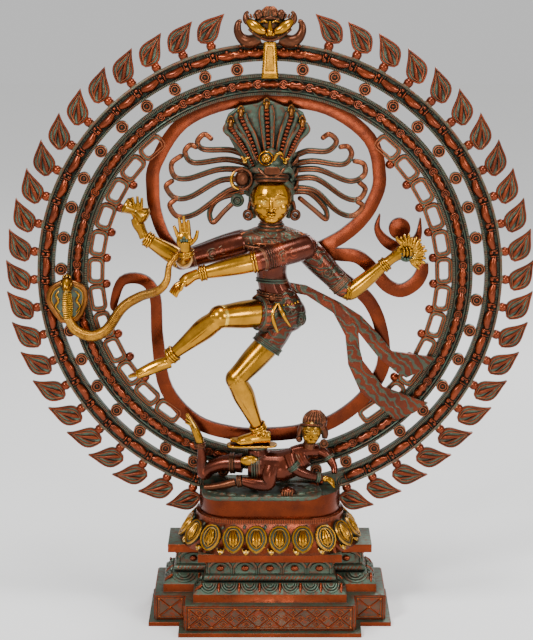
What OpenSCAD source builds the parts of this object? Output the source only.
// Dancing-lord temple figure (nataraja) of cast and brazed brass.
// Origin: centre of the plinth's footprint, on the surface it stands on.
// +Z is up and the figure faces -Y. All sizes are in millimetres.

/* [Plinth] */
// Half width of the centre projection at its foot lip
plinth_centre_half_w = 112.5; // [100:0.5:135]
// Half depth of the centre projection at its foot lip
plinth_centre_half_d = 88; // [80:0.5:106]
// Half width of the side wings at their foot lip
plinth_wing_half_w = 151; // [136:0.5:182]
// Half depth of the side wings at their foot lip
plinth_wing_half_d = 54; // [50:0.5:65]
// Height of the foot lip
lip_h = 5.5; // [4:0.5:8]
// Height of the engraved panel course
panel_h = 33; // [26:0.5:40]
// Height of the lower slab course
lower_slab_h = 10.5; // [8:0.5:14]
// Height of the leaning leaf course under the rope
leaf_course_h = 10.5; // [8:0.5:13]
// Radius of the rope moulding
rope_r = 5; // [4:0.25:6]
// Height of the arcaded course
arcade_h = 19; // [15:0.5:23]
// Height of the upper slab course
upper_slab_h = 10.5; // [8:0.5:14]
// Thickness of the plinth casting's walls
plinth_wall = 5; // [4:0.5:7]

/* [Lotus and dais] */
// Half width of the lotus tier where it meets the plinth
lotus_foot_half_w = 113; // [100:0.5:122]
// Radius of the lotus tier's rounded ends at the foot
lotus_foot_r = 56; // [50:0.5:60]
// Half width of the lotus tier at its top
lotus_top_half_w = 91; // [88:0.5:100]
// Radius of the lotus tier's rounded ends at the top
lotus_top_r = 46; // [43:0.5:50]
// Height of the lotus tier
lotus_h = 33; // [26:0.5:40]
// Thickness of the lotus casting's walls
lotus_wall = 6; // [4:0.5:8]
// Height of the milled fillet between the lotus tier and the dais
fillet_h = 6; // [4:0.5:8]
// Half width of the dais
dais_half_w = 88; // [80:0.5:106]
// Radius of the dais's rounded ends, which is also its half depth
dais_r = 42; // [38:0.5:50]
// Height of the dais
dais_h = 28; // [24:0.5:34]

/* [Flame ring] */
// Clear radius inside the ring's inner band
ring_inner_r = 222; // [186:1:266]
// Radial width of the inner band
inner_band_w = 25; // [20:0.5:30]
// Radial width of the gap between the two bands
band_gap = 15; // [12:0.5:18]
// Radial width of the outer band
outer_band_w = 21; // [19:0.5:25.5]
// Thickness of the bands from front to back
ring_t = 12; // [10:0.5:14.5]
// Distance of the ring's middle plane behind the plinth's centre
ring_y = 8; // [4:0.5:12]
// Depth that the ring's outer band drops into the dais
ring_sink = 17; // [12:0.5:19]
// Clearance each side of the ring in its slot
slot_clearance = 0.3; // [0.2:0.05:0.6]
// Length of a flame from its foot to its tip
flame_l = 44; // [37:0.5:53]
// Width of a flame at its widest
flame_w = 25; // [20:0.5:30]
// Thickness of a flame from front to back
flame_t = 8; // [6:0.5:10]
// Radius of the round bead between two flames
flame_bead_r = 6; // [5:0.25:7]
// Thickness of the round spacers between the bands
spacer_t = 8; // [6:0.5:10]
// Radial height of a lattice loop
loop_h = 20; // [16.5:0.5:24]
// Width of the bar that a lattice loop is made of
loop_bar = 4.5; // [3.5:0.25:5.5]
// Radius of a lattice bead
lattice_bead_r = 5.5; // [4.5:0.25:6.5]

/* [Om] */
// Width of the om's ribbon at its widest
ribbon_w = 16; // [13:0.5:19.5]
// Thickness of the om from front to back
om_t = 8; // [6:0.5:10]

/* [Fastenings] */
// Radius of the studs that tie the pedestal together
pedestal_stud_r = 4; // [3:0.25:5]
// Radius of the stud under the standing foot
figure_stud_r = 3; // [2.5:0.25:4]
// Radius of the screws that hold the ring in the dais
ring_screw_r = 2; // [1.5:0.25:2.5]
// Radial clearance of a stud or screw in a plain hole
hole_clearance = 0.4; // [0.2:0.1:0.8]

/* [Hidden] */
$fn = 48;

// Finishes
gold = "#c9962e";
copper_red = "#84351c";
patina = "#57705c";
steel = "#8d9094";

// Plinth levels, from the floor up
panel_z = lip_h;
lower_slab_z = panel_z + panel_h;
leaf_course_z = lower_slab_z + lower_slab_h;
rope_z = leaf_course_z + leaf_course_h;
arcade_z = rope_z + 2 * rope_r;
upper_slab_z = arcade_z + arcade_h;
plinth_top = upper_slab_z + upper_slab_h;
fillet_z = plinth_top + lotus_h;
dais_z = fillet_z + fillet_h;
dais_top = dais_z + dais_h;

// How far each course stands in from the foot lip
panel_inset = 8;
lower_slab_inset = 18;
leaf_top_inset = 30;
rope_inset = 31;
arcade_inset = 31;
upper_slab_inset = 24;

// Ring radii, from the inside out
inner_band_r = ring_inner_r + inner_band_w;
outer_band_in_r = inner_band_r + band_gap;
ring_r = outer_band_in_r + outer_band_w;
ring_z = dais_top - ring_sink + ring_r;
ring_front = ring_y - ring_t / 2;
ring_back = ring_y + ring_t / 2;

// Radial room between the outer band and the flames' feet, bridged by the beads
bead_bite = 3;
bead_room = 2 * flame_bead_r - bead_bite;

// Counts and spacing round the ring. The lowest flame's foot stands clear of the dais's
// end, so the pitch follows from the ring's radius and the dais's width.
flames_a_side = 22;
first_flame = 14;
flame_dais_gap = 10.1;
last_flame = 180 - asin((dais_half_w + flame_dais_gap) / (ring_r + bead_room));
flame_pitch = (last_flame - first_flame) / (flames_a_side - 1);
flame_lean = 56;

// Where a leaf's root lies from its bead, as shares of the leaf's width
flame_root = [0.48, 0.16];
spacer_count = 41;
loops_a_side = 12;
first_loop = 37;
loop_pitch = 9.25;

// The figure is laid out in one unit, which is 1 at a clear ring radius of 222 mm,
// from the middle of the dais's top and from the om's front face.
figure_unit = ring_inner_r / 222;
om_front = ring_y - om_t / 2;

// Joints of the dancer's limbs, in figure units
neck = [1, -34, 326];
right_shoulder = [-34, -30, 318];
left_shoulder = [43, -32, 314];
back_right_elbow = [-106, -26, 293];
back_right_wrist = [-150, -26, 321];
back_right_palm = [-161, -26, 346];
front_right_elbow = [-101, -46, 298];
front_right_wrist = [-98, -66, 309];
front_right_tip = [-103, -68, 354];
front_left_elbow = [-18, -68, 300];
front_left_wrist = [-84, -71, 286];
front_left_tip = [-118, -71, 263];
back_left_elbow = [95, -28, 253];
back_left_wrist = [140, -28, 290];
back_left_tip = [160, -28, 306];
waist = [4, -33, 262];
hip = [17, -32, 229];
raised_hem = [-16, -48, 233];
raised_knee = [-61, -76, 236];
raised_ankle = [-121, -72, 184];
raised_toe = [-166, -75, 160];
standing_hem = [-6, -38, 187];
standing_knee = [-41, -50, 152];
standing_ankle = [-12, -34, 80];
standing_heel = [2, -33, 72];
standing_toe = [-45, -39, 68];
stud_x = -14;
stud_y = -35;

// Pedestal studs stand clear of the ring's slot
pedestal_stud_x = 58;
pedestal_stud_y = -14;
stud_grip = 14;
ring_screw_x = 26;
ring_screw_z = ring_z - ring_r + outer_band_w * 0.45;

// ---------- Helpers ----------

// Turns and moves its child from the Z axis to the line between two points
module along(a, b) {
    d = b - a;
    translate(a)
        rotate([0, acos(d[2] / norm(d)), atan2(d[1], d[0])])
            children();
}

// A turned limb between two points: stations are pairs of length share and radius
module limb(a, b, stations) {
    len_ab = norm(b - a);
    last = len(stations) - 1;
    along(a, b)
        rotate_extrude()
            polygon(concat(
                [[0, stations[0][0] * len_ab]],
                [for (s = stations) [s[1], s[0] * len_ab]],
                [[0, stations[last][0] * len_ab]]
            ));
}

// A round-ended limb that swells towards its first end
module soft_limb(a, b, ra, rb) {
    la = ra / norm(b - a);
    lb = rb / norm(b - a);
    limb(a, b, [
        [-0.95 * la, ra * 0.3], [-0.6 * la, ra * 0.8], [0, ra],
        [0.35, ra * 0.68 + rb * 0.36], [1, rb],
        [1 + 0.6 * lb, rb * 0.8], [1 + 0.95 * lb, rb * 0.3]
    ]);
}

// Places figure pieces: middle of the dais's top, in front of the om
module on_figure() {
    translate([0, om_front, dais_top])
        scale(figure_unit)
            children();
}

// Places pieces that are drawn flat in the ring's plane, facing the front
module on_ring(thickness) {
    translate([0, ring_y + thickness / 2, ring_z])
        rotate([90, 0, 0])
            linear_extrude(thickness)
                children();
}

// Point on a smooth curve through four points, at share t between b and c
function curve_point(a, b, c, d, t) =
    0.5 * (2 * b + (c - a) * t + (2 * a - 5 * b + 4 * c - d) * t * t
        + (3 * b - a - 3 * c + d) * t * t * t);

// Smooth open curve through a list of points, with the given steps between them
function smooth_path(p, steps) =
    let (n = len(p))
    concat([for (i = [0:n - 2]) for (k = [0:steps - 1])
        curve_point(p[max(i - 1, 0)], p[i], p[i + 1], p[min(i + 2, n - 1)], k / steps)],
        [p[n - 1]]);

function unit_of(v) = v / norm(v);

// Direction of a path at point i
function heading(p, i) = unit_of(p[min(i + 1, len(p) - 1)] - p[max(i - 1, 0)]);

// Outline of a flat ribbon; each path point holds x, z and the half width there
function ribbon_outline(p) =
    let (
        mid = [for (q = p) [q[0], q[1]]],
        side = [for (i = [0:len(p) - 1]) let (h = heading(mid, i)) [-h[1], h[0]] * p[i][2]]
    )
    concat([for (i = [0:len(p) - 1]) mid[i] + side[i]],
        [for (i = [len(p) - 1:-1:0]) mid[i] - side[i]]);

// A tube swept along a path that lies mostly across Y; each point holds x, y, z and radius
module strand(p, sides) {
    n = len(p);
    mid = [for (q = p) [q[0], q[1], q[2]]];
    pts = [for (i = [0:n - 1])
        let (
            h = heading(mid, i),
            u = unit_of(cross(h, [0, 1, 0])),
            v = cross(u, h)
        )
        for (k = [0:sides - 1])
            mid[i] + p[i][3] * (cos(360 * k / sides) * u + sin(360 * k / sides) * v)];
    walls = [for (i = [0:n - 2]) for (k = [0:sides - 1])
        let (k2 = (k + 1) % sides)
        each [[i * sides + k, i * sides + k2, (i + 1) * sides + k2],
            [i * sides + k, (i + 1) * sides + k2, (i + 1) * sides + k]]];
    polyhedron(pts, concat(
        [[for (k = [sides - 1:-1:0]) k]],
        walls,
        [[for (k = [0:sides - 1]) (n - 1) * sides + k]]
    ));
}

// ---------- Plinth ----------

// Half outline of the plinth's courses, in from half size w, raised by height
function course_profile(w) = [
    [w, 0], [w, panel_z],
    [w - panel_inset, panel_z], [w - panel_inset, lower_slab_z],
    [w - lower_slab_inset, lower_slab_z], [w - lower_slab_inset, leaf_course_z],
    [w - lower_slab_inset - 5, leaf_course_z + leaf_course_h * 0.4],
    [w - leaf_top_inset, rope_z],
    for (a = [-75:15:75])
        [w - rope_inset - rope_r + rope_r * cos(a), rope_z + rope_r + rope_r * sin(a)],
    [w - arcade_inset - rope_r, arcade_z], [w - arcade_inset - rope_r, upper_slab_z - 4],
    [w - upper_slab_inset - 4, upper_slab_z],
    [w - upper_slab_inset, upper_slab_z], [w - upper_slab_inset, plinth_top]
];

module course_slice(w, depth) {
    half = course_profile(w);
    rotate([90, 0, 0])
        linear_extrude(depth, center = true)
            polygon(concat(half, [for (i = [len(half) - 1:-1:0]) [-half[i][0], half[i][1]]]));
}

// Mitred block: the courses run round all four sides
module course_block(half_w, half_d) {
    intersection() {
        course_slice(half_w, 2 * half_d + 2);
        rotate([0, 0, 90])
            course_slice(half_d, 2 * half_w + 2);
    }
}

// Hollow of a block: wide in the panel course, narrow above it
module course_hollow(half_w, half_d) {
    low_in = lower_slab_inset + plinth_wall;
    high_in = arcade_inset + rope_r + plinth_wall;
    translate([-half_w + low_in, -half_d + low_in, -1])
        cube([2 * (half_w - low_in), 2 * (half_d - low_in), lower_slab_z - plinth_wall + 1]);
    translate([-half_w + high_in, -half_d + high_in, -1])
        cube([2 * (half_w - high_in), 2 * (half_d - high_in), plinth_top - plinth_wall + 1]);
}

module pedestal_stud_places() {
    for (x = [-1, 1])
        translate([x * pedestal_stud_x, pedestal_stud_y, 0])
            children();
}

module plinth() {
    color(patina)
    difference() {
        union() {
            course_block(plinth_centre_half_w, plinth_centre_half_d);
            course_block(plinth_wing_half_w, plinth_wing_half_d);
        }
        course_hollow(plinth_centre_half_w, plinth_centre_half_d);
        course_hollow(plinth_wing_half_w, plinth_wing_half_d);
        pedestal_stud_places()
            translate([0, 0, plinth_top - 2 * plinth_wall])
                cylinder(h = 3 * plinth_wall, r = pedestal_stud_r + hole_clearance);
    }
}

// ---------- Lotus tier and dais ----------

// Oval frustum: two cones joined by a prism
module oval_frustum(z, h, foot_half_w, foot_r, top_half_w, top_r) {
    foot_x = foot_half_w - foot_r;
    straight = min(foot_x, top_half_w - top_r);
    for (x = [-straight, straight])
        translate([x, 0, z])
            cylinder(h = h, r1 = foot_half_w - straight, r2 = top_half_w - straight, $fn = 72);
    translate([-straight, 0, z])
        rotate([90, 0, 90])
            linear_extrude(2 * straight)
                polygon([
                    [-(foot_half_w - straight), 0], [foot_half_w - straight, 0],
                    [top_half_w - straight, h], [-(top_half_w - straight), h]
                ]);
}

// Oval block: two cylinders joined by a box
module oval_block(z, h, half_w, end_r) {
    for (x = [-1, 1])
        translate([x * (half_w - end_r), 0, z])
            cylinder(h = h, r = end_r, $fn = 72);
    translate([-(half_w - end_r), -end_r, z])
        cube([2 * (half_w - end_r), 2 * end_r, h]);
}

module lotus_tier() {
    color(patina)
    difference() {
        union() {
            oval_frustum(plinth_top, lotus_h, lotus_foot_half_w, lotus_foot_r,
                lotus_top_half_w, lotus_top_r);
            oval_block(fillet_z, fillet_h, lotus_top_half_w, lotus_top_r);
        }
        oval_frustum(plinth_top - 1, lotus_h - lotus_wall + 1,
            lotus_foot_half_w - lotus_wall, lotus_foot_r - lotus_wall,
            lotus_top_half_w - 2 * lotus_wall, lotus_top_r - 2 * lotus_wall);
        pedestal_stud_places()
            translate([0, 0, fillet_z - 2 * lotus_wall])
                cylinder(h = fillet_h + 3 * lotus_wall, r = pedestal_stud_r + hole_clearance);
        on_figure_stud()
            cylinder(h = dais_z - plinth_top + 1, r = figure_nut_r + 1);
    }
}

figure_nut_r = figure_stud_r * 1.9;
figure_nut_h = figure_stud_r * 1.7;
figure_pocket_z = dais_top - 9;

// Places its child under the standing foot, at the plinth's top
module on_figure_stud() {
    translate([stud_x * figure_unit, om_front + stud_y * figure_unit, plinth_top])
        children();
}

// Places a screw or its hole: along -Y from the dais's back
module ring_screw_places() {
    for (x = [-1, 1])
        translate([x * ring_screw_x, dais_r, ring_screw_z])
            rotate([90, 0, 0])
                children();
}

module dais() {
    color(copper_red)
    difference() {
        oval_block(dais_z, dais_h, dais_half_w, dais_r);
        // Slot that the ring's lower arc drops into
        translate([0, ring_back + slot_clearance, ring_z])
            rotate([90, 0, 0])
                cylinder(h = ring_t + 2 * slot_clearance, r = ring_r + slot_clearance, $fn = 180);
        pedestal_stud_places()
            translate([0, 0, dais_z - 1])
                cylinder(h = stud_grip + 1, r = pedestal_stud_r);
        on_figure_stud()
            cylinder(h = dais_top - plinth_top + 1, r = figure_stud_r + hole_clearance);
        on_figure_stud()
            cylinder(h = figure_pocket_z - plinth_top, r = figure_nut_r + 1);
        ring_screw_places()
            translate([0, 0, -1])
                cylinder(h = dais_r - ring_back + 2, r = ring_screw_r + hole_clearance);
    }
}

// ---------- Fastenings ----------

washer_t = 1.5;
pedestal_nut_h = pedestal_stud_r * 1.6;
stud_foot_z = plinth_top - plinth_wall - washer_t - pedestal_nut_h - 3;

module pedestal_studs() {
    color(steel)
    pedestal_stud_places()
        translate([0, 0, stud_foot_z])
            cylinder(h = dais_z + stud_grip - stud_foot_z, r = pedestal_stud_r);
}

module pedestal_washers() {
    color(steel)
    pedestal_stud_places()
        translate([0, 0, plinth_top - plinth_wall - washer_t])
            difference() {
                cylinder(h = washer_t, r = pedestal_stud_r * 2.4);
                translate([0, 0, -1])
                    cylinder(h = washer_t + 2, r = pedestal_stud_r + hole_clearance);
            }
}

module pedestal_nuts() {
    color(steel)
    pedestal_stud_places()
        translate([0, 0, plinth_top - plinth_wall - washer_t - pedestal_nut_h])
            difference() {
                cylinder(h = pedestal_nut_h, r = pedestal_stud_r * 1.9, $fn = 6);
                translate([0, 0, -1])
                    cylinder(h = pedestal_nut_h + 2, r = pedestal_stud_r);
            }
}

// Top of the figure's stud, inside the standing foot
figure_stud_top = dais_top + 70 * figure_unit;

module figure_stud() {
    color(steel)
    on_figure_stud()
        translate([0, 0, figure_pocket_z - plinth_top - figure_nut_h - 2])
            cylinder(h = figure_stud_top - figure_pocket_z + figure_nut_h + 2, r = figure_stud_r);
}

module figure_nut() {
    color(steel)
    on_figure_stud()
        translate([0, 0, figure_pocket_z - plinth_top - figure_nut_h])
            difference() {
                cylinder(h = figure_nut_h, r = figure_nut_r, $fn = 6);
                translate([0, 0, -1])
                    cylinder(h = figure_nut_h + 2, r = figure_stud_r);
            }
}

module ring_screws() {
    color(steel)
    ring_screw_places() {
        translate([0, 0, -ring_screw_r * 1.2])
            cylinder(h = ring_screw_r * 1.2, r = ring_screw_r * 2);
        cylinder(h = dais_r - ring_y, r = ring_screw_r);
    }
}

// ---------- Ring ----------

// A flat ring with raised rims and a round moulding, as wide as two radii allow
module band(inner, outer) {
    rim = 3;
    step = 1.5;
    mid = (inner + outer) / 2;
    bead = (outer - inner) * 0.24;
    translate([0, ring_y, ring_z])
        rotate([90, 0, 0])
            rotate_extrude($fn = 180)
                polygon([
                    [inner, -ring_t / 2 + step], [outer, -ring_t / 2 + step],
                    [outer, ring_t / 2], [outer - rim, ring_t / 2],
                    [outer - rim - 1, ring_t / 2 - 3], [mid + bead, ring_t / 2 - 3],
                    [mid + bead * 0.7, ring_t / 2 - 1], [mid, ring_t / 2],
                    [mid - bead * 0.7, ring_t / 2 - 1], [mid - bead, ring_t / 2 - 3],
                    [inner + rim + 1, ring_t / 2 - 3], [inner + rim, ring_t / 2],
                    [inner, ring_t / 2]
                ]);
}

module outer_band() {
    color(copper_red)
    difference() {
        band(outer_band_in_r, ring_r);
        // Tapped holes for the screws from the dais's back
        ring_screw_places()
            translate([0, 0, -1])
                cylinder(h = dais_r - ring_y + 1, r = ring_screw_r);
    }
}

module inner_band() {
    color(copper_red)
    band(ring_inner_r, inner_band_r);
}

// Places its child on a circle round the ring's centre, turned to point outwards
module round_ring(angle, r) {
    rotate(-angle)
        translate([0, r])
            children();
}

module band_spacers() {
    mid = inner_band_r + band_gap / 2;
    boss = 2.5;
    color(copper_red)
    for (k = [1:spacer_count - 1])
        translate([0, ring_y, ring_z])
            rotate([90, 360 / spacer_count * k, 0])
                translate([0, mid, -spacer_t / 2]) {
                    cylinder(h = spacer_t, r = band_gap / 2);
                    cylinder(h = spacer_t + 1, r = boss);
                }
}

// Flame outline: a leaf that leans towards the top of the ring
function flame_outline() =
    let (n = 8)
    concat(
        [for (i = [0:n]) let (t = i / n, swell = sin(180 * pow(1 - t, 1.6)))
            [-flame_w * (0.5 * swell * (1 - 0.35 * t) + 0.1 * (1 - t)), flame_l * t]],
        [for (i = [n - 1:-1:0]) let (t = i / n, swell = sin(180 * pow(1 - t, 1.35)))
            [flame_w * (0.5 * swell * (1 - 0.2 * t) + 0.1 * (1 - t)), flame_l * t]]
    );

// Places its child at each flame's foot, pointing outwards
module flame_places() {
    for (side = [0, 1])
        for (i = [0:flames_a_side - 1])
            mirror([side, 0, 0])
                round_ring(first_flame + i * flame_pitch, ring_r + bead_room)
                    children();
}

module flames() {
    color(patina)
    on_ring(flame_t)
        flame_places()
            difference() {
                translate(flame_w * flame_root)
                    rotate(flame_lean)
                        polygon(flame_outline());
                translate([-flame_l, -flame_l])
                    square([2 * flame_l, flame_l]);
            }
}

module flame_beads() {
    color(copper_red)
    difference() {
        translate([0, ring_y, ring_z])
            rotate([90, 0, 0])
                flame_places()
                    rotate([90, 0, 0])
                        rotate_extrude()
                            intersection() {
                                translate([0, bead_room / 2])
                                    circle(r = flame_bead_r);
                                square([2 * flame_bead_r, bead_room + 0.2]);
                            }
        translate([0, ring_y + ring_t, ring_z])
            rotate([90, 0, 0])
                cylinder(h = 2 * ring_t, r = ring_r, $fn = 180);
    }
}

// Rounded rectangle as a list of points, n steps a corner
function rounded_points(w, h, r, n) = [
    for (c = [[1, 1, 0], [-1, 1, 90], [-1, -1, 180], [1, -1, 270]])
        for (k = [0:n])
            [c[0] * (w / 2 - r) + r * cos(c[2] + 90 * k / n),
                c[1] * (h / 2 - r) + r * sin(c[2] + 90 * k / n)]
];

loop_mid_r = ring_inner_r - loop_h / 2;
loop_t = ring_t * 0.6;
lattice_bead_at = ring_inner_r - loop_h - lattice_bead_r * 0.3;

// Places its child where the corners of two lattice loops meet
module lattice_bead_places() {
    for (side = [0, 1])
        for (i = [0:loops_a_side])
            let (
                angle = first_loop + i * loop_pitch,
                at = lattice_bead_at * [(1 - 2 * side) * sin(angle), cos(angle)]
            )
            // A bead is left out where the om's stroke runs
            if (om_room(at) > lattice_bead_r)
                mirror([side, 0, 0])
                    round_ring(angle, lattice_bead_at)
                        children();
}

module lattice_loops() {
    loop_w = 2 * loop_mid_r * sin(loop_pitch / 2) - 0.6;
    color(patina)
    on_ring(loop_t)
        difference() {
            intersection() {
                for (side = [0, 1])
                    for (i = [0:loops_a_side - 1])
                        mirror([side, 0])
                            round_ring(first_loop + (i + 0.5) * loop_pitch, loop_mid_r)
                                difference() {
                                    polygon(rounded_points(loop_w, loop_h + 1, 7, 4));
                                    polygon(rounded_points(loop_w - 2 * loop_bar,
                                        loop_h + 1 - 2 * loop_bar, 4, 4));
                                }
                circle(r = ring_inner_r, $fn = 180);
            }
            om_strokes();
            lattice_bead_places()
                circle(r = lattice_bead_r, $fn = 32);
        }
}

module lattice_beads() {
    color(copper_red)
    translate([0, ring_y, ring_z])
        rotate([90, 0, 0])
            lattice_bead_places()
                sphere(r = lattice_bead_r, $fn = 32);
}

// ---------- Crest ----------

crest_z = ring_z + ring_r + 15;
crest_front = ring_front - 7;
tongue_t = 6;

module crest_mask() {
    color(gold)
    difference() {
        translate([0, ring_back, crest_z])
            rotate([90, 0, 0]) {
                linear_extrude(ring_back - crest_front)
                    polygon([
                        [-12, -24], [12, -24], [20, -14], [30, -8], [34, 6], [28, 18], [14, 16],
                        [10, 26], [0, 31], [-10, 26], [-14, 16], [-28, 18], [-34, 6], [-30, -8],
                        [-20, -14]
                    ]);
                for (x = [-11, 11])
                    translate([x, 2, ring_back - crest_front])
                        sphere(r = 7.5, $fn = 32);
            }
        translate([0, ring_back + 1, ring_z])
            rotate([90, 0, 0])
                cylinder(h = 4 * ring_t, r = ring_r, $fn = 180);
        crest_tongue();
    }
}

// Tongue that hangs from the mask over both bands
module crest_tongue() {
    top_z = crest_z - 12;
    foot_z = ring_z + inner_band_r - 6;
    color(gold)
    translate([0, ring_front, 0])
        rotate([90, 0, 0])
            linear_extrude(tongue_t)
                polygon([[-7, top_z], [7, top_z], [9.5, foot_z], [-9.5, foot_z]]);
}

// ---------- Om ----------

// Middle lines of the om's strokes, from the ring's centre, in figure units,
// each with the ribbon's width there as a share of its full width
om_upper = [
    [-108, 30, 0.5], [-127, 50, 0.8], [-138, 80, 0.9], [-141, 109, 1], [-137, 140, 1], [-105, 188, 1],
    [-52, 212, 1], [8, 214, 0.85], [69, 206, 1], [119, 170, 1], [132, 122, 1],
    [123, 90, 1], [108, 68, 1], [90, 52, 1], [75, 43, 1], [60, 36, 0.9]
];
om_lower = [
    [60, 34, 0.9], [70, 20, 0.9], [82, 4, 1], [96, -8, 1], [111, -19, 1], [124, -34, 1],
    [134, -56, 1], [140, -87, 1], [138, -118, 1], [115, -155, 1],
    [78, -184, 1], [38, -197, 1], [0, -201, 1], [-43, -200, 1], [-92, -184, 1],
    [-128, -142, 1], [-138, -80, 0.9], [-140, -26, 0.85], [-154, -4, 0.8], [-180, -5, 0.75],
    [-191, -34, 0.6], [-188, -42, 0.2]
];
om_tail = [
    [60, 29, 0.8], [84, 28, 0.95], [104, 26, 1], [118, 17, 1], [132, 1, 1], [145, -12, 1],
    [161, -17, 1], [177, -8, 1], [185, 5, 0.95], [186, 17, 0.85]
];
om_path_steps = 5;

function om_stroke(p) = [
    for (q = smooth_path(p, om_path_steps))
        [q[0] * figure_unit, q[1] * figure_unit, q[2] * ribbon_w / 2]
];

module om_strokes() {
    for (path = [om_upper, om_lower, om_tail])
        polygon(ribbon_outline(om_stroke(path)));
}

// Room between a point of the ring's plane and the nearest edge of the om
function om_room(at) = min([
    for (path = [om_upper, om_lower, om_tail])
        for (q = om_stroke(path))
            norm([q[0], q[1]] - at) - q[2]
]);

// The om's top stroke runs into the inner band and is brazed to it
module om_ribbon() {
    color(copper_red)
    on_ring(om_t)
        intersection() {
            om_strokes();
            circle(r = ring_inner_r, $fn = 180);
        }
}

// Crescent with pointed ends, cupping the dot
om_moon = [
    [133, 78, 0.1], [130, 60, 0.5], [140, 45, 0.8], [155, 37, 0.85], [171, 40, 0.7],
    [180, 52, 0.5], [182, 73, 0.1]
];
om_dot_at = [157, 60];
om_dot_r = 13.2;

module om_crescent() {
    color(copper_red)
    on_ring(om_t)
        difference() {
            polygon(ribbon_outline(om_stroke(om_moon)));
            polygon(ribbon_outline(om_stroke(om_upper)));
            translate(om_dot_at * figure_unit)
                circle(r = om_dot_r * figure_unit);
        }
}

module om_dot() {
    color(copper_red)
    on_ring(om_t)
        translate(om_dot_at * figure_unit)
            circle(r = om_dot_r * figure_unit);
}

// Brazed pins between the figure and the om: x and z from the ring's centre and length
om_pin_places = [[-118, 39, 20], [104, -5, 22], [141, -90, 11]];
om_pin_r = 3;

module om_pins() {
    color(copper_red)
    difference() {
        for (p = om_pin_places * figure_unit)
            translate([p[0], om_front, ring_z + p[1]])
                rotate([90, 0, 0])
                    cylinder(h = p[2], r = om_pin_r);
        on_figure()
            back_right_forearm_shape();
        on_figure()
            back_left_forearm_shape();
        on_figure()
            sash_shape();
    }
}

// ---------- Dancer ----------

module torso_shape() {
    hull() {
        translate(right_shoulder + [4, 0, 0])
            sphere(r = 12, $fn = 24);
        translate(left_shoulder + [-5, 0, 0])
            sphere(r = 12, $fn = 24);
        translate([3, -34, 300])
            sphere(r = 17, $fn = 24);
    }
    hull() {
        translate([3, -33, 298])
            sphere(r = 17.5, $fn = 24);
        translate(waist)
            sphere(r = 16, $fn = 24);
    }
}

module torso() {
    color(copper_red)
    torso_shape();
}

module hips_shape() {
    hull() {
        translate(waist + [1, 0, -8])
            sphere(r = 16.5, $fn = 24);
        translate(hip)
            sphere(r = 24, $fn = 24);
    }
    // Short hems over both thighs
    limb(hip, raised_hem, [[0, 17], [0.5, 19], [0.97, 18], [1, 16.5]]);
    limb(hip, standing_hem, [[0, 18], [0.5, 17.5], [0.97, 16.5], [1, 15.5]]);
}

module hips() {
    color(copper_red)
    difference() {
        hips_shape();
        torso_shape();
    }
}

module belt() {
    color(gold)
    difference() {
        translate(waist + [0.5, 0, -11])
            rotate([0, 4, 0])
                rotate_extrude()
                    translate([18.5, 0])
                        circle(r = 2.6);
        torso_shape();
        hips_shape();
    }
}

module collar() {
    color(patina)
    difference() {
        limb(neck + [0, 0, -9], neck + [0, -2, 13],
            [[0, 17], [0.3, 17], [0.6, 11], [0.7, 8.5], [1, 8.2]]);
        torso_shape();
    }
}

module head_shape() {
    limb(neck + [0, -2, 13], neck + [0, 1, 66], [
        [0, 7], [0.06, 12], [0.2, 17.5], [0.4, 21], [0.6, 22.5], [0.8, 22], [1, 19]
    ]);
}

module head() {
    color(gold)
    head_shape();
}

module crown_shape() {
    limb(neck + [0, 1, 66], neck + [0, 4, 112],
        [[0, 21], [0.12, 22.5], [0.25, 19], [0.6, 15], [1, 9]]);
}

module crown() {
    color(patina)
    crown_shape();
}

hood_heads = [
    [-48, 0, 460, 5], [-35, 0, 472, 6], [-4, 0, 481, 7], [26, 0, 473, 6], [40, 0, 460, 5]
];

module serpent_hood() {
    color(patina)
    difference() {
        union() {
            translate([0, -16, 0])
                rotate([90, 0, 0])
                    linear_extrude(9)
                        polygon([
                            [-22, 407], [20, 407], [33, 427], [42, 449], [41, 464], [26, 474],
                            [8, 478], [-4, 483], [-16, 478], [-36, 474], [-51, 462], [-50, 443],
                            [-41, 427]
                        ]);
            for (h = hood_heads)
                soft_limb([h[0] * 0.93, -22, h[2] - 16], [h[0], -32, h[2] - 4], h[3] * 0.75, h[3]);
        }
        crown_shape();
        head_shape();
    }
}

// Curling locks that fan out from a root plate each side: x and z, in figure units
right_locks = [
    [[-24, 415], [-46, 424], [-78, 425], [-86, 434], [-78, 443], [-70, 438]],
    [[-24, 407], [-52, 413], [-90, 409], [-101, 421], [-95, 430], [-88, 428]],
    [[-24, 400], [-60, 401], [-97, 390], [-114, 393], [-117, 408], [-106, 417]],
    [[-24, 388], [-58, 388], [-95, 368], [-114, 367], [-124, 380], [-117, 387]],
    [[-24, 380], [-50, 375], [-88, 348], [-110, 344], [-120, 357], [-114, 364]],
    [[-24, 376], [-60, 366], [-72, 350], [-68, 337], [-54, 351], [-36, 368]]
];
left_locks = [
    [[26, 415], [44, 423], [68, 423], [79, 434], [71, 443], [63, 439]],
    [[26, 407], [51, 411], [86, 407], [97, 418], [93, 428], [84, 428]],
    [[26, 400], [57, 401], [94, 387], [112, 394], [112, 407], [101, 411]],
    [[26, 389], [55, 390], [88, 368], [106, 365], [114, 377], [107, 385]],
    [[26, 379], [54, 375], [80, 351], [99, 345], [111, 356], [105, 362]],
    [[26, 374], [47, 373], [66, 354], [67, 341], [53, 352], [36, 366]]
];
lock_y = -12;
lock_r = 3.2;

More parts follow.
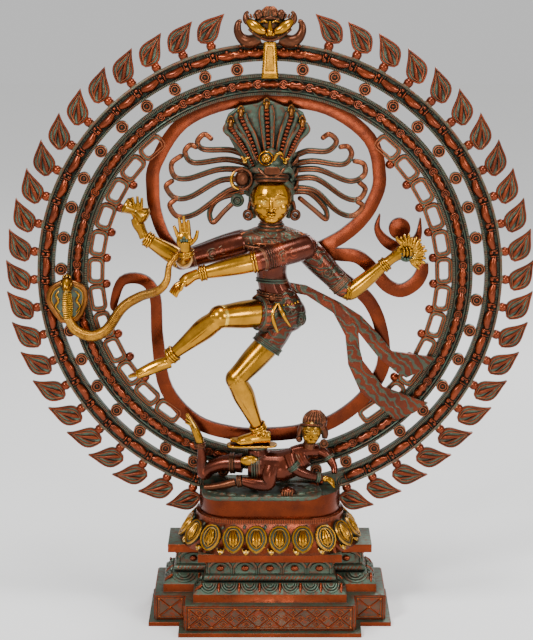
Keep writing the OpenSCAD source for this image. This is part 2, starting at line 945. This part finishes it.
module hair_half(locks, side) {
    difference() {
        translate([side * 24, lock_y + 5, 396])
            rotate([90, 0, 0])
                linear_extrude(9)
                    polygon([[-9, -26], [7, -26], [9, 0], [7, 26], [-9, 30]]);
        head_shape();
        crown_shape();
    }
    for (lock = locks)
        strand([
            for (q = smooth_path(lock, 4))
                [q[0], lock_y, q[1], lock_r]
        ], 8);
}

module hair_left() {
    color(patina)
    hair_half(left_locks, 1);
}

module hair_right() {
    color(patina)
    hair_half(right_locks, -1);
}

// Arms: each upper arm keeps clear of the torso, and each forearm of its upper arm

module back_right_upper_arm_shape() {
    soft_limb(right_shoulder + [2, 4, -2], back_right_elbow, 14.5, 12);
}

module back_right_upper_arm() {
    color(copper_red)
    difference() {
        back_right_upper_arm_shape();
        torso_shape();
        front_right_upper_arm_shape();
    }
}

module back_right_forearm_shape() {
    limb(back_right_elbow, back_right_wrist,
        [[0, 10.8], [0.4, 11], [0.85, 8], [0.9, 9], [1, 9]]);
}

module back_right_forearm() {
    color(gold)
    difference() {
        back_right_forearm_shape();
        back_right_upper_arm_shape();
        front_right_upper_arm_shape();
    }
}

module back_right_hand_shape() {
    soft_limb(back_right_wrist + [-3, 0, 6], back_right_palm, 6.5, 5.5);
}

module back_right_hand() {
    color(gold)
    difference() {
        back_right_hand_shape();
        back_right_forearm_shape();
    }
}

// Hourglass drum held in the raised hand
module drum() {
    a = back_right_palm + [13, -4, -3];
    b = back_right_palm + [-14, -2, 14];
    color(gold)
    difference() {
        limb(a, b, [[0, 9.5], [0.1, 11], [0.3, 9], [0.5, 5], [0.7, 8], [0.9, 10], [1, 9]]);
        back_right_hand_shape();
    }
}

module front_right_upper_arm_shape() {
    soft_limb(right_shoulder + [0, -5, -3], front_right_elbow, 13.5, 11.8);
}

module front_right_upper_arm() {
    color(copper_red)
    difference() {
        front_right_upper_arm_shape();
        torso_shape();
    }
}

module front_right_forearm_shape() {
    limb(front_right_elbow, front_right_wrist, [[0, 10], [0.2, 11], [0.6, 9.5], [1, 8]]);
}

module front_right_forearm() {
    color(gold)
    difference() {
        front_right_forearm_shape();
        front_right_upper_arm_shape();
        back_right_upper_arm_shape();
    }
}

// Open palm raised in blessing
module front_right_hand() {
    color(gold)
    difference() {
        union() {
            soft_limb(front_right_wrist + [0, 0, 4], front_right_wrist + [-1, -1, 22], 8, 9.5);
            for (f = [-1.5:1:1.5])
                soft_limb(front_right_wrist + [f * 4.6 - 1, -1, 22],
                    front_right_tip + [f * 5.2, 0, -abs(f) * 3], 2.6, 2.2);
            soft_limb(front_right_wrist + [7, -1, 12], front_right_wrist + [13, -3, 26], 3, 2.4);
        }
        front_right_forearm_shape();
    }
}

module front_left_upper_arm_shape() {
    soft_limb(left_shoulder + [0, -6, -2], front_left_elbow, 13.5, 12);
}

module front_left_upper_arm() {
    color(copper_red)
    difference() {
        front_left_upper_arm_shape();
        torso_shape();
    }
}

module front_left_forearm_shape() {
    limb(front_left_elbow, front_left_wrist,
        [[-0.1, 9.5], [0.02, 11.6], [0.4, 11.3], [0.86, 8.5], [0.9, 9.6], [1, 9.6]]);
}

module front_left_forearm() {
    color(gold)
    difference() {
        front_left_forearm_shape();
        front_left_upper_arm_shape();
    }
}

// Hand hanging from the wrist, fingers together
module front_left_hand_shape() {
    soft_limb(front_left_wrist + [-4, 0, -1], front_left_wrist + [-18, 0, -8], 7, 8);
    soft_limb(front_left_wrist + [-18, 0, -8], front_left_tip, 7.5, 4);
}

module front_left_hand() {
    color(gold)
    difference() {
        front_left_hand_shape();
        front_left_forearm_shape();
    }
}

module back_left_upper_arm_shape() {
    soft_limb(left_shoulder + [2, 5, -8], back_left_elbow, 15, 12.5);
}

module back_left_upper_arm() {
    color(copper_red)
    difference() {
        back_left_upper_arm_shape();
        torso_shape();
        front_left_upper_arm_shape();
    }
}

module back_left_forearm_shape() {
    limb(back_left_elbow, back_left_wrist,
        [[0, 9], [0.1, 10.5], [0.4, 10], [0.86, 7], [0.9, 8], [1, 8]]);
}

module back_left_forearm() {
    color(gold)
    difference() {
        back_left_forearm_shape();
        back_left_upper_arm_shape();
    }
}

module back_left_hand_shape() {
    soft_limb(back_left_wrist + [3, 0, 3], back_left_tip, 6.5, 7.5);
}

module back_left_hand() {
    color(gold)
    difference() {
        back_left_hand_shape();
        back_left_forearm_shape();
    }
}

// Fan of flame tongues that rise from the open hand
module hand_flame() {
    root = back_left_tip + [3, 0, 3];
    color(gold)
    difference() {
        for (a = [-30:22:58])
            limb(root, root + [28 * sin(a) + 3, -2, 28 * cos(a)],
                [[0, 3], [0.4, 4.4], [0.8, 2.6], [1, 1]]);
        back_left_hand_shape();
    }
}

// ---------- Cobra ----------

cobra_route = [
    [-107, -60, 309, 3.5], [-118, -70, 297, 3.5], [-121, -79, 280, 4.5], [-132, -72, 266, 5.5],
    [-156, -44, 252, 6.5], [-178, -30, 235, 7], [-198, -22, 206, 7.5], [-217, -18, 197, 7.5],
    [-236, -14, 203, 7], [-245, -12, 217, 6.5]
];

module cobra_body() {
    color(gold)
    difference() {
        strand([for (q = smooth_path(cobra_route, 4)) q], 10);
        front_left_hand_shape();
        front_right_forearm_shape();
    }
}

// Spread hood, brazed to the front of the inner band
module cobra_hood() {
    c = [-246, (ring_front - om_front) / figure_unit, 238];
    color(gold)
    difference() {
        union() {
            translate(c)
                rotate([90, 0, 0])
                    linear_extrude(9)
                        polygon([
                            [5, -28], [14, -22], [24, -2], [25, 12], [20, 20], [4, 26], [-6, 27],
                            [-20, 19], [-26, 6], [-24, -4], [-10, -25]
                        ]);
            soft_limb(c + [-1, -9, 18], c + [0, -12, 26], 6, 6);
        }
        strand([for (q = smooth_path(cobra_route, 4)) q], 10);
    }
}

// ---------- Sash ----------

sash_turn = 5.8;
sash_t = 5;

module sash_shape() {
    translate([14, -22, 0])
        rotate([0, 0, sash_turn])
            translate([-14, 0, 0])
                rotate([90, 0, 0])
                    linear_extrude(sash_t)
                        polygon([
                            [8, 268], [44, 261], [85, 239], [112, 221], [134, 197], [150, 176],
                            [204, 167], [190, 152], [168, 142], [157, 148], [132, 170],
                            [108, 201], [110, 180], [114, 165], [124, 151], [140, 131],
                            [196, 109], [179, 97], [157, 88], [145, 97], [111, 126],
                            [96, 160], [92, 197], [77, 226], [44, 249], [8, 257]
                        ]);
}

// Scarf that flies from the waist in two tails
module sash() {
    color(copper_red)
    difference() {
        sash_shape();
        torso_shape();
        hips_shape();
    }
}

// ---------- Legs ----------

module raised_thigh_shape() {
    limb(raised_hem, raised_knee,
        [[0, 16], [0.3, 16.5], [0.7, 14.5], [1, 14], [1.12, 12.5], [1.25, 7]]);
}

module raised_thigh() {
    color(gold)
    difference() {
        raised_thigh_shape();
        hips_shape();
    }
}

module raised_shin_shape() {
    limb(raised_knee, raised_ankle, [[0, 12], [0.3, 13], [0.6, 10.5], [0.9, 7.5], [1, 8.5]]);
}

module raised_shin() {
    color(gold)
    difference() {
        raised_shin_shape();
        raised_thigh_shape();
    }
}

module raised_foot() {
    color(gold)
    difference() {
        soft_limb(raised_ankle + [2, 0, -4], raised_toe, 8.5, 4.5);
        raised_shin_shape();
    }
}

module standing_thigh_shape() {
    limb(standing_hem, standing_knee,
        [[0, 15], [0.3, 15.5], [0.7, 14], [1, 13.5], [1.14, 11.5], [1.25, 7]]);
}

module standing_thigh() {
    color(gold)
    difference() {
        standing_thigh_shape();
        hips_shape();
    }
}

module standing_shin_shape() {
    limb(standing_knee, standing_ankle, [[0, 12], [0.3, 13], [0.6, 10.5], [0.9, 7.5], [1, 8.5]]);
}

module standing_shin() {
    color(gold)
    difference() {
        standing_shin_shape();
        standing_thigh_shape();
    }
}

// Foot with a flat sole on the dwarf's back
sole_z = 64.5;

module standing_foot() {
    color(gold)
    difference() {
        union() {
            soft_limb(standing_heel, standing_toe, 9, 6);
            limb(standing_ankle + [0, 0, -10], standing_ankle + [0, 0, 1.5],
                [[0, 8], [0.3, 9.6], [0.7, 9.8], [1, 9.2]]);
        }
        translate([-80, -80, 0])
            cube([120, 80, sole_z]);
        standing_shin_shape();
        stud_hole();
    }
}

// Plain hole for the figure's stud through the foot and the dwarf
module stud_hole() {
    translate([stud_x, stud_y, -1])
        cylinder(h = 72, r = (figure_stud_r + hole_clearance) / figure_unit);
}

// ---------- Dwarf ----------

dwarf_hip = [-22, -34, 38];
dwarf_chest = [44, -31, 50];
dwarf_face = [55, -33, 82];

module dwarf_body_shape() {
    hull() {
        translate(dwarf_hip)
            sphere(r = 20, $fn = 24);
        translate([12, -31, 32])
            sphere(r = 18, $fn = 24);
    }
    hull() {
        translate([12, -31, 32])
            sphere(r = 18, $fn = 24);
        translate(dwarf_chest)
            sphere(r = 15, $fn = 24);
    }
    // Raised back that the dancer stands on
    translate([stud_x, stud_y, 20])
        cylinder(h = sole_z - 20, r1 = 17, r2 = 13);
    // Flat bed that seats on the dais
    translate([-40, -46, 0])
        cube([94, 30, 30]);
}

module dwarf_body() {
    color(copper_red)
    difference() {
        dwarf_body_shape();
        translate([-120, -120, -40])
            cube([240, 240, 40]);
        stud_hole();
    }
}

module dwarf_head() {
    color(gold)
    difference() {
        union() {
            limb(dwarf_face + [-4, -2, -20], dwarf_face + [2, 2, 18],
                [[0, 7], [0.2, 12.5], [0.5, 16], [0.8, 14], [1, 8]]);
            translate(dwarf_face + [4, 5, 3])
                sphere(r = 18);
        }
        dwarf_body_shape();
    }
}

module dwarf_arms() {
    color(copper_red)
    difference() {
        union() {
            limb(dwarf_chest + [-2, -8, -2], [82, -40, 26],
                [[0, 6], [0.2, 7], [0.7, 4.5], [0.85, 5.2], [1, 3]]);
            limb(dwarf_chest + [14, 8, -4], [82, -20, 28],
                [[0, 6], [0.2, 7], [0.7, 4.5], [0.85, 5.2], [1, 3]]);
        }
        dwarf_body_shape();
        translate([-120, -120, -40])
            cube([240, 240, 40]);
    }
}

module dwarf_legs() {
    color(copper_red)
    difference() {
        union() {
            // Near leg folded along the dais
            soft_limb([2, -44, 28], [-6, -46, 12], 9, 8);
            soft_limb([-8, -46, 10], [-54, -42, 14], 8, 6);
            soft_limb([-54, -42, 14], [-80, -40, 8], 5.5, 3.5);
            // Far leg kicked up behind
            soft_limb([-30, -28, 34], [-76, -24, 34], 12, 8.5);
            soft_limb([-78, -24, 34], [-92, -24, 76], 8, 5);
            soft_limb([-92, -24, 76], [-102, -24, 98], 4.5, 3);
        }
        dwarf_body_shape();
        translate([-120, -120, -40])
            cube([240, 240, 40]);
    }
}

// ---------- Show one node or all of them ----------

plinth();
lotus_tier();
dais();
pedestal_studs();
pedestal_washers();
pedestal_nuts();
figure_stud();
figure_nut();
ring_screws();
outer_band();
inner_band();
band_spacers();
flames();
flame_beads();
lattice_loops();
lattice_beads();
crest_mask();
crest_tongue();
om_ribbon();
om_crescent();
om_dot();
om_pins();
on_figure() torso();
on_figure() hips();
on_figure() belt();
on_figure() collar();
on_figure() head();
on_figure() crown();
on_figure() serpent_hood();
on_figure() hair_right();
on_figure() hair_left();
on_figure() back_right_upper_arm();
on_figure() back_right_forearm();
on_figure() back_right_hand();
on_figure() drum();
on_figure() front_right_upper_arm();
on_figure() front_right_forearm();
on_figure() front_right_hand();
on_figure() front_left_upper_arm();
on_figure() front_left_forearm();
on_figure() front_left_hand();
on_figure() back_left_upper_arm();
on_figure() back_left_forearm();
on_figure() back_left_hand();
on_figure() hand_flame();
on_figure() cobra_body();
on_figure() cobra_hood();
on_figure() sash();
on_figure() raised_thigh();
on_figure() raised_shin();
on_figure() raised_foot();
on_figure() standing_thigh();
on_figure() standing_shin();
on_figure() standing_foot();
on_figure() dwarf_body();
on_figure() dwarf_head();
on_figure() dwarf_arms();
on_figure() dwarf_legs();
